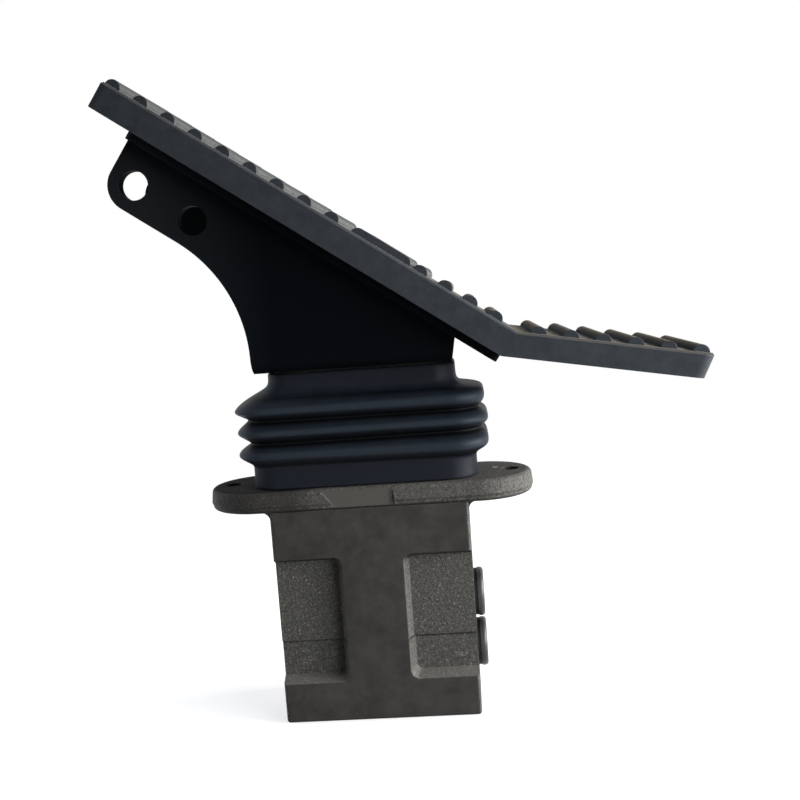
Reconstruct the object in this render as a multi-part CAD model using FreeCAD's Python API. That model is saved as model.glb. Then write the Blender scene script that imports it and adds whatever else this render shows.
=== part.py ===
import FreeCAD
import Part
import math
import os

# Hydraulic foot pedal valve, all sizes in millimetres.
# Origin: middle of the valve body's bottom face. +Z is up, +X points to the side with the two
# port plugs, and the pedal pivots about an axis along Y.

# Valve body: an iron casting with a mounting flange at its top
body_length = 90.0
body_width = 46.0
body_height = 99.0
body_corner_radius = 1.6
flange_length = 151.0
flange_width = 50.0
flange_thickness = 10.0
flange_edge_radius = 2.2
flange_parting_height = 3.4
flange_draft = 0.5
flange_cove_radius = 4.0
flange_hole_margin = 10.5
flange_hole_diameter = 8.5
gate_patch_start = -21.3
gate_patch_end = 12.0
gate_patch_slant = 7.5
gate_patch_depth = 0.7

# Shallow as-cast pockets on the front and back of the body
pocket_web_width = 28.0
pocket_bottom_band = 18.5
pocket_top_band = 22.0
pocket_depth = 6.4
pocket_wall_slope = 2.7
pocket_corner_radius = 4.0
pocket_step_height = 37.5
pocket_step_depth = 1.2

# Ports and galleries
gallery_diameter = 7.0
pressure_gallery_height = 27.0
tank_gallery_height = 51.2
side_port_diameter = 16.66
side_port_depth = 13.0
work_port_diameter = 13.16
work_port_depth = 12.0
drain_diameter = 3.0

# Valve cartridge bores
spool_pitch = 44.0
spool_diameter = 8.0
spool_clearance = 0.02
chamber_diameter = 18.0
chamber_floor_height = 62.0
bush_diameter = 20.0
bush_length = 14.0
fit_clearance = 0.03
seat_gap = 0.1

# Port plugs
plug_collar_diameter = 22.6
plug_collar_height = 3.0
plug_dome_radius = 1.6
plug_thread_length = 10.0
plug_socket_size = 8.0
plug_socket_depth = 5.5
washer_thickness = 1.5
washer_bore_clearance = 0.4

# Spool
spool_bottom_height = 18.0
port_overlap = 2.0
spool_groove_diameter = 5.6
spool_stem_diameter = 4.0
spool_head_diameter = 6.5
spool_head_height = 2.0
spool_bore_diameter = 3.4
spool_cross_hole_diameter = 2.4
spool_travel_room = 6.0
spool_washer_diameter = 11.0
spool_washer_thickness = 1.5

# Springs and their seat
spring_seat_diameter = 17.0
spring_seat_thickness = 3.0
spring_seat_rim = 2.0
spring_seat_height = 81.0
return_spring_outer = 16.4
return_spring_wire = 1.8
return_spring_half_turns = 7
metering_spring_outer = 9.6
metering_spring_wire = 1.2
metering_spring_half_turns = 7
spring_end_rise = 0.6

# Pushrod and its guide bush
rod_diameter = 8.0
rod_foot_diameter = 12.0
rod_foot_height = 6.0
rod_foot_bore = 7.4
rod_foot_bore_depth = 5.0
rod_tip_radius = 6.0
rod_tip_gap = 0.25
bush_neck_diameter = 14.0
bush_neck_height = 10.0
rod_seal_diameter = 12.0
rod_seal_height = 4.0
bush_ring_section = 2.0

# Cap screws that hold the housing down and the bracket on
cap_screw_diameter = 6.0
cap_screw_head_diameter = 10.0
cap_screw_head_height = 6.0
cap_screw_socket = 5.0
cap_screw_rim = 0.5

# Pivot housing on top of the flange
gasket_thickness = 0.5
housing_length = 95.4
housing_width = 37.4
housing_thickness = 8.0
housing_corner_radius = 9.7
bead_height = 3.0
bead_depth = 1.5
housing_screw_x = 38.0
housing_screw_y = 12.5
housing_screw_grip = 14.0
housing_screw_runout = 2.0
pivot_height = 135.0
ear_gap = 22.0
ear_thickness = 6.0
ear_radius = 10.0
pin_diameter = 8.0
pin_ring_thickness = 1.0
pin_ring_width = 1.6
pin_ring_gap = 3.0
pin_end_length = 1.2
pivot_bush_wall = 1.25
pivot_bush_length = 9.0
pivot_side_play = 0.3

# Rocker between the pedal bracket and the pushrods
rocker_hub_diameter = 20.0
rocker_arm_length = 31.0
rocker_arm_width = 17.0
rocker_arm_thickness = 7.0
rocker_web_width = 15.0
neck_length = 79.0
neck_width = 32.0
neck_corner_radius = 9.0
neck_height = 11.0
button_diameter = 12.0
button_height = 3.0
button_stem_diameter = 6.0
button_stem_length = 4.5

# Rubber boot
boot_wall = 3.0
boot_gap = 0.3
boot_collar_height = 10.0
boot_fold_reach = 6.4
boot_fold_depth = 3.6
boot_fold_heights = (17.0, 26.6, 36.4)
boot_fold_flats = (3.0, 3.0, 5.0)
boot_shoulder_rise = 8.0
boot_shoulder_thinning = 0.6
boot_corner_growth = 1.4

# Folded pedal bracket
bracket_width = 60.0
bracket_thickness = 6.0
bracket_bend_radius = 8.0
bracket_back_reach = 45.9
bracket_front_reach = 42.0
bracket_front_lean = 10.0
bracket_back_arc_radius = 65.0
bracket_lug_radius = 11.5
link_hole_diameter = 12.8
link_hole_drop = 19.5
link_hole_start = 30.0
link_hole_pitch = 29.5
bracket_screw_x = 29.0
bracket_screw_y = 9.0
bracket_screw_grip = 8.0

# Plate under the pedal and the ribbed pedal itself
base_plate_thickness = 3.6
base_plate_width = 76.0
base_plate_start = 18.5
pedal_width = 85.0
tread_length = 203.7
tread_angle = 35.1
tread_thickness = 12.1
toe_length = 83.1
toe_angle = 10.3
toe_thickness = 10.8
toe_cut_angle = 26.0
kink_x = 62.9
kink_rise = 2.0
pedal_corner_radius = 4.5
pedal_edge_chamfer = 0.9
rib_width = 7.0
rib_height = 3.2
rib_side_margin = 4.0
rib_end_margin = 4.0
upper_rib_start = 5.0
upper_rib_pitch = 13.4
badge_start = 122.0
badge_length = 29.0
lower_rib_start = 155.7
lower_rib_pitch = 12.4
toe_rib_start = 9.2
toe_rib_pitch = 13.66
pedal_screw_diameter = 6.0
pedal_screw_head_diameter = 10.0
pedal_screw_head_height = 4.0
pedal_screw_depth = 7.0
pedal_screw_y = 13.0
pedal_screw_starts = (58.0, 128.0)

thread_clearance = 0.05

# Heights and places that follow from the sizes above
flange_top = body_height + flange_thickness
flange_hole_x = flange_length / 2 - flange_hole_margin
bush_bottom = flange_top - bush_length
housing_bottom = flange_top + gasket_thickness
housing_top = housing_bottom + housing_thickness
spool_x = spool_pitch / 2
groove_top = tank_gallery_height - gallery_diameter / 2 + port_overlap
groove_bottom = pressure_gallery_height + gallery_diameter / 2 + port_overlap
spool_shoulder = chamber_floor_height + spool_travel_room
rod_foot_bottom = spring_seat_height + spring_seat_thickness
rod_tip_top = pivot_height + rod_tip_radius
button_face = rod_tip_top + rod_tip_gap
arm_bottom = button_face + button_height
neck_bottom = arm_bottom + rocker_arm_thickness
neck_top = neck_bottom + neck_height
bracket_floor_top = neck_top + bracket_thickness
kink_z = neck_top + kink_rise
plug_seat_x = body_length / 2 + washer_thickness


def vec(x, y, z):
    return FreeCAD.Vector(x, y, z)


def block(x0, x1, y0, y1, z0, z1):
    return Part.makeBox(x1 - x0, y1 - y0, z1 - z0, vec(x0, y0, z0))


def rod_z(radius, z0, z1, x=0.0, y=0.0):
    return Part.makeCylinder(radius, z1 - z0, vec(x, y, z0), vec(0, 0, 1))


def rod_y(radius, y0, y1, x, z):
    return Part.makeCylinder(radius, y1 - y0, vec(x, y0, z), vec(0, 1, 0))


def rod_x(radius, x0, x1, y, z):
    return Part.makeCylinder(radius, x1 - x0, vec(x0, y, z), vec(1, 0, 0))


def turned(profile, x=0.0, y=0.0):
    """A turned piece about a vertical axis, from its (radius, height) corners."""
    points = [vec(r, 0, z) for r, z in profile]
    face = Part.Face(Part.makePolygon(points + points[:1]))
    solid = face.revolve(vec(0, 0, 0), vec(0, 0, 1), 360)
    solid.translate(vec(x, y, 0))
    return solid


def rounded_wire(half_x, half_y, radius, z):
    """A horizontal rectangle with round corners, centred on the Z axis."""
    r = min(radius, half_x - 0.01, half_y - 0.01)
    d = r * math.sin(math.radians(45))
    edges = []
    corners = [(1, 1), (-1, 1), (-1, -1), (1, -1)]
    for i, (sx, sy) in enumerate(corners):
        cx, cy = sx * (half_x - r), sy * (half_y - r)
        on_x = vec(sx * half_x, cy, z)
        on_y = vec(cx, sy * half_y, z)
        start, end = (on_x, on_y) if sx * sy > 0 else (on_y, on_x)
        edges.append(Part.Arc(start, vec(cx + sx * d, cy + sy * d, z), end).toShape())
        nx, ny = corners[(i + 1) % 4]
        if nx != sx:
            following = vec(nx * (half_x - r), ny * half_y, z)
        else:
            following = vec(nx * half_x, ny * (half_y - r), z)
        edges.append(Part.LineSegment(end, following).toShape())
    return Part.Wire(edges)


def rounded_block(half_x, half_y, radius, z0, z1):
    face = Part.Face(rounded_wire(half_x, half_y, radius, z0))
    return face.extrude(vec(0, 0, z1 - z0))


def side_prism(edges, y0, y1):
    """Extrudes a closed outline in the XZ plane from y0 to y1."""
    face = Part.Face(Part.Wire(edges))
    prism = face.extrude(vec(0, y1 - y0, 0))
    prism.translate(vec(0, y0, 0))
    return prism


def outline(points):
    """Straight edges through (x, z) points, closed at the end."""
    corners = [vec(x, 0, z) for x, z in points]
    return Part.makePolygon(corners + corners[:1]).Edges


def hexagon(across_flats, z0, z1):
    reach = across_flats / math.sqrt(3)
    corners = [vec(reach * math.cos(math.radians(60 * i)), reach * math.sin(math.radians(60 * i)), z0)
               for i in range(6)]
    return Part.Face(Part.makePolygon(corners + corners[:1])).extrude(vec(0, 0, z1 - z0))


def four_corners(x, y):
    return [(sx * x, sy * y) for sx in (-1, 1) for sy in (-1, 1)]


def fused(shapes):
    return shapes[0].multiFuse(shapes[1:]).removeSplitter()


def compound(shapes):
    return Part.makeCompound(shapes)


# Directions and points of the pedal's side view, used by the pedal, its plate and the bracket
def unit(angle):
    a = math.radians(angle)
    return math.cos(a), -math.sin(a)


tread_dir = unit(tread_angle)
tread_up = (-tread_dir[1], tread_dir[0])
toe_dir = unit(toe_angle)
toe_up = (-toe_dir[1], toe_dir[0])


def along(point, direction, distance):
    return point[0] + direction[0] * distance, point[1] + direction[1] * distance


def crossing(p, d, q, e):
    """Where the line through p along d meets the line through q along e."""
    across = d[0] * e[1] - d[1] * e[0]
    t = ((q[0] - p[0]) * e[1] - (q[1] - p[1]) * e[0]) / across
    return along(p, d, t)


under_kink = (kink_x, kink_z)
top_kink = crossing(
    along(under_kink, tread_up, tread_thickness),
    tread_dir,
    along(under_kink, toe_up, toe_thickness),
    toe_dir,
)
top_heel = along(top_kink, tread_dir, -tread_length)
under_heel = along(top_heel, tread_up, -tread_thickness)
top_toe = along(top_kink, toe_dir, toe_length)
cut_dir = (-math.sin(math.radians(toe_cut_angle)), -math.cos(math.radians(toe_cut_angle)))
under_toe = crossing(top_toe, cut_dir, under_kink, toe_dir)


def tread_point(distance, drop=0.0):
    """A point on the tread's underside, at a distance from its upper end and a drop below it."""
    return along(along(under_heel, tread_dir, distance), tread_up, -drop)


def pocket_cutter(side_x, side_y):
    """One pocket with sloping walls, open to the side of the body and deeper in its lower part."""
    face_y = body_width / 2
    x_in = pocket_web_width / 2
    x_out = body_length / 2 + pocket_depth
    z0 = pocket_bottom_band
    z1 = body_height - pocket_top_band
    wires = []
    for depth, inset in ((-1.0, 0.0), (0.0, 0.0), (pocket_depth, pocket_wall_slope)):
        half_x = (x_out - x_in - inset) / 2
        half_z = (z1 - z0) / 2 - inset
        radius = pocket_corner_radius - inset / 2
        wire = rounded_wire(half_x, half_z, radius, 0)
        wire.rotate(vec(0, 0, 0), vec(1, 0, 0), 90)
        wire.translate(vec((x_in + inset + x_out) / 2, face_y - depth, (z0 + z1) / 2))
        wires.append(wire)
    cutter = Part.makeLoft(wires, True, True)
    floor_y = face_y - pocket_depth
    ledge = block(x_in, x_out, floor_y, floor_y + pocket_step_depth, pocket_step_height, z1)
    cutter = cutter.cut(ledge)
    if side_x < 0:
        cutter = cutter.mirror(vec(0, 0, 0), vec(1, 0, 0))
    if side_y < 0:
        cutter = cutter.mirror(vec(0, 0, 0), vec(0, 1, 0))
    return cutter


def cove(length, radius):
    """A concave fillet bar along Y: the corner of a square with a quarter circle taken out."""
    square = block(0, radius, -length / 2, length / 2, -radius, 0)
    return square.cut(rod_y(radius, -length / 2, length / 2, radius, -radius))


def flange_profile():
    """Half of the flange's section: drafted both ways from its parting line, with round rims."""
    half = flange_width / 2
    side = half - flange_draft
    r = flange_edge_radius
    bend = r * math.sin(math.radians(45))
    low = body_height
    parting = low + flange_parting_height

    def v(across, height):
        return vec(0, -across, height)

    def rim(start, end, centre_height, sign):
        middle = v(side - r + bend, centre_height + sign * bend)
        return Part.Arc(start, middle, end).toShape()

    low_flat, low_side = v(side - r, low), v(side, low + r)
    high_side, high_flat = v(side, flange_top - r), v(side - r, flange_top)
    return [
        Part.LineSegment(v(0, low), low_flat).toShape(),
        rim(low_flat, low_side, low + r, -1),
        Part.LineSegment(low_side, v(half, parting)).toShape(),
        Part.LineSegment(v(half, parting), high_side).toShape(),
        rim(high_side, high_flat, flange_top - r, 1),
        Part.LineSegment(high_flat, v(0, flange_top)).toShape(),
        Part.LineSegment(v(0, flange_top), v(0, low)).toShape(),
    ]


def flange():
    """Mounting flange: a straight bar with half-round ends."""
    section = Part.Face(Part.Wire(flange_profile()))
    end_x = flange_length / 2 - flange_width / 2
    bar = section.extrude(vec(2 * end_x, 0, 0))
    bar.translate(vec(-end_x, 0, 0))
    end = section.revolve(vec(0, 0, 0), vec(0, 0, 1), 180)
    end.translate(vec(end_x, 0, 0))
    across = bar.mirror(vec(0, 0, 0), vec(0, 1, 0))
    return fused([bar, across, end, end.mirror(vec(0, 0, 0), vec(1, 0, 0))])


def gate_patch():
    """Where the casting's feed was ground off: a shallow flat across the flange's front edge."""
    front = -flange_width / 2
    points = [
        (gate_patch_start, flange_top),
        (gate_patch_end, flange_top),
        (gate_patch_end, body_height),
        (gate_patch_start + gate_patch_slant, body_height),
    ]
    return side_prism(outline(points), front - 1, front + gate_patch_depth)


def valve_body():
    body = rounded_block(body_length / 2, body_width / 2, body_corner_radius, 0, body_height)
    low_ends = [e for e in body.Edges
                if e.BoundBox.ZMax < 0.01 and e.BoundBox.XMax - e.BoundBox.XMin < 0.01]
    body = body.makeFillet(body_corner_radius * 0.9, low_ends)
    end_cove = cove(body_width - 2 * body_corner_radius, flange_cove_radius)
    end_cove.translate(vec(body_length / 2, 0, body_height))
    pieces = [body, flange(), end_cove, end_cove.mirror(vec(0, 0, 0), vec(1, 0, 0))]
    shape = fused(pieces)

    cutters = [pocket_cutter(sx, sy) for sx in (-1, 1) for sy in (-1, 1)]
    for side in (-1, 1):
        x = side * spool_x
        bore = spool_diameter / 2 + spool_clearance
        cutters.append(rod_z(bore, work_port_depth / 2, chamber_floor_height + 1, x))
        cutters.append(rod_z(chamber_diameter / 2, chamber_floor_height, bush_bottom + 1, x))
        cutters.append(rod_z(bush_diameter / 2, bush_bottom, flange_top + 1, x))
        cutters.append(rod_z(work_port_diameter / 2, -1, work_port_depth, x))
        drain_x = side * (spool_x - chamber_diameter / 2 + drain_diameter)
        cutters.append(
            rod_z(drain_diameter / 2, tank_gallery_height, chamber_floor_height + 1, drain_x)
        )
        cutters.append(
            rod_z(flange_hole_diameter / 2, body_height - 1, flange_top + 1,
                  side * flange_hole_x)
        )
    for height in (pressure_gallery_height, tank_gallery_height):
        cutters.append(
            rod_x(gallery_diameter / 2, -spool_x, body_length / 2, 0, height)
        )
        cutters.append(
            rod_x(side_port_diameter / 2, body_length / 2 - side_port_depth,
                  body_length / 2 + 1, 0, height)
        )
    for x, y in four_corners(housing_screw_x, housing_screw_y):
        cutters.append(
            rod_z(cap_screw_diameter / 2 + thread_clearance,
                  flange_top - housing_screw_grip - housing_screw_runout, housing_bottom, x, y)
        )
    cutters.append(gate_patch())
    return shape.cut(compound(cutters))


def port_plug(height):
    """Screwed plug with a round-edged collar and a hexagon socket."""
    collar = rod_x(plug_collar_diameter / 2, plug_seat_x, plug_seat_x + plug_collar_height, 0, 0)
    outer = [e for e in collar.Edges if e.BoundBox.XMin > plug_seat_x + plug_collar_height - 0.01]
    collar = collar.makeFillet(plug_dome_radius, outer)
    shank = rod_x(side_port_diameter / 2 - thread_clearance, plug_seat_x - plug_thread_length,
                  plug_seat_x + 1, 0, 0)
    plug = collar.fuse(shank)
    socket = hexagon(plug_socket_size, 0, plug_socket_depth + 1)
    socket.rotate(vec(0, 0, 0), vec(0, 1, 0), 90)
    socket.translate(vec(plug_seat_x + plug_collar_height - plug_socket_depth, 0, 0))
    plug = plug.cut(socket).removeSplitter()
    plug.translate(vec(0, 0, height))
    return plug


def port_seal_washers():
    washers = []
    for height in (pressure_gallery_height, tank_gallery_height):
        x0 = body_length / 2
        ring = rod_x(plug_collar_diameter / 2 - washer_bore_clearance, x0, plug_seat_x, 0, height)
        hole = rod_x(side_port_diameter / 2 + washer_bore_clearance, x0, plug_seat_x, 0, height)
        washers.append(ring.cut(hole))
    return compound(washers)


def spool(x):
    """Metering spool: two lands, a groove with a cross hole, and a headed stem."""
    land = spool_diameter / 2
    groove = spool_groove_diameter / 2
    stem = spool_stem_diameter / 2
    head_bottom = rod_foot_bottom + seat_gap
    head_top = head_bottom + spool_head_height
    head = spool_head_diameter / 2
    shape = turned(
        [
            (0, spool_bottom_height),
            (land, spool_bottom_height),
            (land, groove_bottom),
            (groove, groove_bottom),
            (groove, groove_top),
            (land, groove_top),
            (land, spool_shoulder),
            (stem, spool_shoulder),
            (stem, head_bottom),
            (head, head_bottom),
            (head, head_top),
            (0, head_top),
        ]
    )
    cross_height = (groove_bottom + groove_top) / 2
    shape = shape.cut(rod_z(spool_bore_diameter / 2, spool_bottom_height - 1, cross_height))
    shape = shape.cut(rod_x(spool_cross_hole_diameter / 2, -land, land, 0, cross_height))
    shape.translate(vec(x, 0, 0))
    return shape


def spool_washer(x):
    inner = spool_stem_diameter / 2 + seat_gap
    top = spool_shoulder + spool_washer_thickness
    ring = rod_z(spool_washer_diameter / 2, spool_shoulder, top, x)
    return ring.cut(rod_z(inner, spool_shoulder, top, x))


def spring_seat(x):
    """Cup that both springs push on, with a rim round the pushrod's foot."""
    hole = spool_stem_diameter / 2 + seat_gap * 2
    pocket = rod_foot_diameter / 2 + seat_gap
    outer = spring_seat_diameter / 2
    return turned(
        [
            (hole, spring_seat_height),
            (outer, spring_seat_height),
            (outer, rod_foot_bottom),
            (pocket + 1.0, rod_foot_bottom + spring_seat_rim),
            (pocket, rod_foot_bottom + spring_seat_rim),
            (pocket, rod_foot_bottom),
            (hole, rod_foot_bottom),
        ],
        x,
    )


def coil_spring(x, outer, wire, half_turns, z0, z1):
    """A round-wire compression spring between two faces, its first and last half turns closed.

    Each half turn is a round bar bent in its own slightly tilted plane, and they meet tangent.
    """
    radius = (outer - wire) / 2
    end_rise = wire * spring_end_rise
    rise = (z1 - z0 - wire - 2 * seat_gap - 2 * end_rise) / (half_turns - 2)
    z = z0 + wire / 2 + seat_gap
    pieces = []
    for i in range(half_turns):
        step = end_rise if i in (0, half_turns - 1) else rise
        side = 1 if i % 2 == 0 else -1
        start = vec(side * radius, 0, z)
        centre = vec(0, 0, z + step / 2)
        axis = (start - centre).cross(vec(0, side, 0))
        section = Part.Face(Part.Wire(Part.makeCircle(wire / 2, start, vec(0, 1, 0))))
        pieces.append(section.revolve(centre, axis, 180))
        z += step
    spring = pieces[0].multiFuse(pieces[1:])
    spring.translate(vec(x, 0, 0))
    return spring


def return_spring(x):
    return coil_spring(x, return_spring_outer, return_spring_wire, return_spring_half_turns,
                       chamber_floor_height, spring_seat_height)


def metering_spring(x):
    return coil_spring(x, metering_spring_outer, metering_spring_wire, metering_spring_half_turns,
                       spool_shoulder + spool_washer_thickness, spring_seat_height)


def pushrod(x):
    """Pushrod with a hollow foot and a domed tip whose centre lies at the pivot's height."""
    r = rod_diameter / 2
    foot = rod_foot_diameter / 2
    foot_top = rod_foot_bottom + rod_foot_height
    dome_start = pivot_height + math.sqrt(rod_tip_radius**2 - r**2)
    shape = turned(
        [
            (0, rod_foot_bottom),
            (foot, rod_foot_bottom),
            (foot, foot_top),
            (r, foot_top),
            (r, rod_tip_top),
            (0, rod_tip_top),
        ]
    )
    ball = Part.makeSphere(rod_tip_radius, vec(0, 0, pivot_height))
    below = rod_z(rod_foot_diameter, rod_foot_bottom - 1, dome_start)
    shape = shape.common(ball.fuse(below))
    bore = rod_z(rod_foot_bore / 2, rod_foot_bottom - 1, rod_foot_bottom + rod_foot_bore_depth)
    shape = shape.cut(bore).removeSplitter()
    shape.translate(vec(x, 0, 0))
    return shape


def guide_bush(x):
    """Bush in the body's bore, with a neck through the housing and grooves for its two seals."""
    outer = bush_diameter / 2 - fit_clearance
    neck = bush_neck_diameter / 2 - fit_clearance
    bore = rod_diameter / 2 + spool_clearance
    neck_top_z = flange_top + bush_neck_height
    ring_z = (bush_bottom + flange_top) / 2
    half_ring = bush_ring_section / 2 + seat_gap
    groove = outer - bush_ring_section
    seal_bottom = neck_top_z - rod_seal_height - 1.0
    seal = rod_seal_diameter / 2
    return turned(
        [
            (bore, bush_bottom),
            (outer, bush_bottom),
            (outer, ring_z - half_ring),
            (groove, ring_z - half_ring),
            (groove, ring_z + half_ring),
            (outer, ring_z + half_ring),
            (outer, flange_top),
            (neck, flange_top),
            (neck, neck_top_z),
            (bore + 0.6, neck_top_z),
            (bore + 0.6, seal_bottom + rod_seal_height + seat_gap),
            (seal, seal_bottom + rod_seal_height + seat_gap),
            (seal, seal_bottom),
            (bore, seal_bottom),
        ],
        x,
    )


def bush_rings():
    """O-rings in the bushes' outer grooves."""
    rings = []
    ring_z = (bush_bottom + flange_top) / 2
    radius = bush_ring_section / 2 - seat_gap
    middle = bush_diameter / 2 - fit_clearance - bush_ring_section / 2
    for side in (-1, 1):
        rings.append(Part.makeTorus(middle, radius, vec(side * spool_x, 0, ring_z), vec(0, 0, 1)))
    return compound(rings)


def rod_seals():
    """Lip seals round the pushrods."""
    seals = []
    bottom = flange_top + bush_neck_height - rod_seal_height - 1.0
    inner = rod_diameter / 2 + seat_gap
    outer = rod_seal_diameter / 2 - seat_gap
    middle = (inner + outer) / 2
    for side in (-1, 1):
        profile = [
            (inner, bottom + seat_gap),
            (outer, bottom + seat_gap),
            (outer, bottom + rod_seal_height),
            (outer - 0.5, bottom + rod_seal_height),
            (middle, bottom + rod_seal_height / 2),
            (inner + 0.5, bottom + rod_seal_height),
            (inner, bottom + rod_seal_height),
        ]
        seals.append(turned(profile, side * spool_x))
    return compound(seals)


def housing_gasket():
    shape = rounded_block(housing_length / 2, housing_width / 2, housing_corner_radius,
                          flange_top, housing_bottom)
    holes = [rod_z(bush_neck_diameter / 2 + seat_gap, flange_top, housing_bottom, side * spool_x)
             for side in (-1, 1)]
    holes += [rod_z(cap_screw_diameter / 2 + seat_gap, flange_top, housing_bottom, x, y)
              for x, y in four_corners(housing_screw_x, housing_screw_y)]
    return shape.cut(compound(holes))


def ear_outline():
    """Side view of a pivot ear: upright sides that run into a round top."""
    top = vec(0, 0, pivot_height + ear_radius)
    left = vec(-ear_radius, 0, pivot_height)
    right = vec(ear_radius, 0, pivot_height)
    foot_half = ear_radius * 1.25
    low_left = vec(-foot_half, 0, housing_top - 1)
    low_right = vec(foot_half, 0, housing_top - 1)
    return [
        Part.Arc(left, top, right).toShape(),
        Part.LineSegment(right, low_right).toShape(),
        Part.LineSegment(low_right, low_left).toShape(),
        Part.LineSegment(low_left, left).toShape(),
    ]


def pivot_housing():
    """Plate on the flange that holds the bushes down and carries the pivot ears."""
    plate = rounded_block(housing_length / 2, housing_width / 2, housing_corner_radius,
                          housing_bottom, housing_top)
    bead_bottom = housing_bottom + (housing_thickness - bead_height) / 2
    band = rounded_block(housing_length, housing_width, 1, bead_bottom, bead_bottom + bead_height)
    core = rounded_block(housing_length / 2 - bead_depth, housing_width / 2 - bead_depth,
                         housing_corner_radius - bead_depth, bead_bottom, bead_bottom + bead_height)
    plate = plate.cut(band.cut(core))
    inner = ear_gap / 2
    ears = [side_prism(ear_outline(), inner, inner + ear_thickness),
            side_prism(ear_outline(), -inner - ear_thickness, -inner)]
    shape = fused([plate] + ears)
    cutters = [rod_y(pin_diameter / 2 + spool_clearance, -flange_width, flange_width, 0, pivot_height)]
    for side in (-1, 1):
        cutters.append(rod_z(bush_neck_diameter / 2 + spool_clearance, housing_bottom - 1,
                             housing_top + 1, side * spool_x))
    for x, y in four_corners(housing_screw_x, housing_screw_y):
        cutters.append(rod_z(cap_screw_diameter / 2 + seat_gap * 2, housing_bottom - 1,
                             housing_top + 1, x, y))
    return shape.cut(compound(cutters))


def cap_screw(x, y, seat_z, length):
    """Socket head cap screw pointing down, its head resting at seat_z."""
    top = seat_z + cap_screw_head_height
    head = rod_z(cap_screw_head_diameter / 2, seat_z, top)
    rim = [e for e in head.Edges if e.BoundBox.ZMin > top - 0.01]
    head = head.makeChamfer(cap_screw_rim, rim)
    shank = rod_z(cap_screw_diameter / 2, seat_z - length, seat_z)
    socket = hexagon(cap_screw_socket, seat_z + cap_screw_head_height / 2, top + 1)
    screw = shank.fuse(head).removeSplitter().cut(socket)
    screw.translate(vec(x, y, 0))
    return screw


def housing_screws():
    length = housing_thickness + gasket_thickness + housing_screw_grip
    return compound([cap_screw(x, y, housing_top, length)
                     for x, y in four_corners(housing_screw_x, housing_screw_y)])


ear_outer = ear_gap / 2 + ear_thickness
ring_inner_y = ear_outer + seat_gap


def pivot_pin():
    """Pin with a groove near each end for a retaining ring."""
    half = ring_inner_y + pin_ring_thickness + pin_end_length
    pin = rod_y(pin_diameter / 2, -half, half, 0, pivot_height)
    for y0 in (ring_inner_y, -ring_inner_y - pin_ring_thickness):
        band = rod_y(pin_diameter, y0, y0 + pin_ring_thickness, 0, pivot_height)
        core = rod_y(pin_diameter / 2 - 0.5, y0, y0 + pin_ring_thickness, 0, pivot_height)
        pin = pin.cut(band.cut(core))
    return pin


def pin_retaining_rings():
    rings = []
    play = seat_gap / 2
    for y0 in (ring_inner_y, -ring_inner_y - pin_ring_thickness):
        y1 = y0 + pin_ring_thickness
        outer = rod_y(pin_diameter / 2 + pin_ring_width, y0 + play, y1 - play, 0, pivot_height)
        inner = rod_y(pin_diameter / 2 - 0.5 + play, y0, y1, 0, pivot_height)
        slot = block(-pin_ring_gap / 2, pin_ring_gap / 2, y0, y1,
                     pivot_height, pivot_height + pin_diameter)
        rings.append(outer.cut(inner).cut(slot))
    return compound(rings)


hub_half = ear_gap / 2 - pivot_side_play
hub_bore = pin_diameter / 2 + pivot_bush_wall + fit_clearance


def pivot_bushes():
    bushes = []
    for y0 in (-hub_half, hub_half - pivot_bush_length):
        outer = rod_y(hub_bore - fit_clearance, y0, y0 + pivot_bush_length, 0, pivot_height)
        inner = rod_y(pin_diameter / 2 + fit_clearance, y0, y0 + pivot_bush_length, 0, pivot_height)
        bushes.append(outer.cut(inner))
    return compound(bushes)


def rocker():
    """Rocking head: a hub on the pivot pin, two arms over the pushrods and the boot's neck."""
    hub = rod_y(rocker_hub_diameter / 2, -hub_half, hub_half, 0, pivot_height)
    half_width = rocker_arm_width / 2
    web = block(-rocker_web_width / 2, rocker_web_width / 2, -hub_half, hub_half,
                pivot_height, neck_bottom + 1)
    arms = rounded_block(rocker_arm_length, half_width, half_width, arm_bottom, neck_bottom + 1)
    neck = rounded_block(neck_length / 2, neck_width / 2, neck_corner_radius, neck_bottom, neck_top)
    bead_bottom = neck_bottom + (neck_height - bead_height) / 2
    band = rounded_block(neck_length, neck_width, 1, bead_bottom, bead_bottom + bead_height)
    core = rounded_block(neck_length / 2 - bead_depth, neck_width / 2 - bead_depth,
                         neck_corner_radius - bead_depth, bead_bottom, bead_bottom + bead_height)
    neck = neck.cut(band.cut(core))
    shape = fused([hub, web, arms, neck])
    cutters = [rod_y(hub_bore, -flange_width, flange_width, 0, pivot_height)]
    for side in (-1, 1):
        cutters.append(rod_z(button_stem_diameter / 2 + fit_clearance, arm_bottom - 1,
                             arm_bottom + button_stem_length + 0.5, side * spool_x))
    for x, y in four_corners(bracket_screw_x, bracket_screw_y):
        cutters.append(rod_z(cap_screw_diameter / 2 + thread_clearance,
                             neck_top - bracket_screw_grip - 1, neck_top + 1, x, y))
    return shape.cut(compound(cutters))


def contact_buttons():
    """Hardened buttons in the rocker arms that press on the pushrods."""
    buttons = []
    for side in (-1, 1):
        head = rod_z(button_diameter / 2, button_face, arm_bottom, side * spool_x)
        stem = rod_z(button_stem_diameter / 2, arm_bottom, arm_bottom + button_stem_length,
                     side * spool_x)
        buttons.append(head.fuse(stem).removeSplitter())
    return compound(buttons)


def boot_stations():
    """(reach beyond the lower collar, height) of the boot's outer surface up to its last fold."""
    start = flange_top + boot_gap
    stations = [(0.0, start), (0.0, start + boot_collar_height)]
    for i, (height, flat) in enumerate(zip(boot_fold_heights, boot_fold_flats)):
        low = flange_top + height - flat / 2
        if i > 0:
            stations.append((boot_fold_reach - boot_fold_depth, (stations[-1][1] + low) / 2))
        stations.append((boot_fold_reach, low))
        stations.append((boot_fold_reach, low + flat))
    return stations


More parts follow.
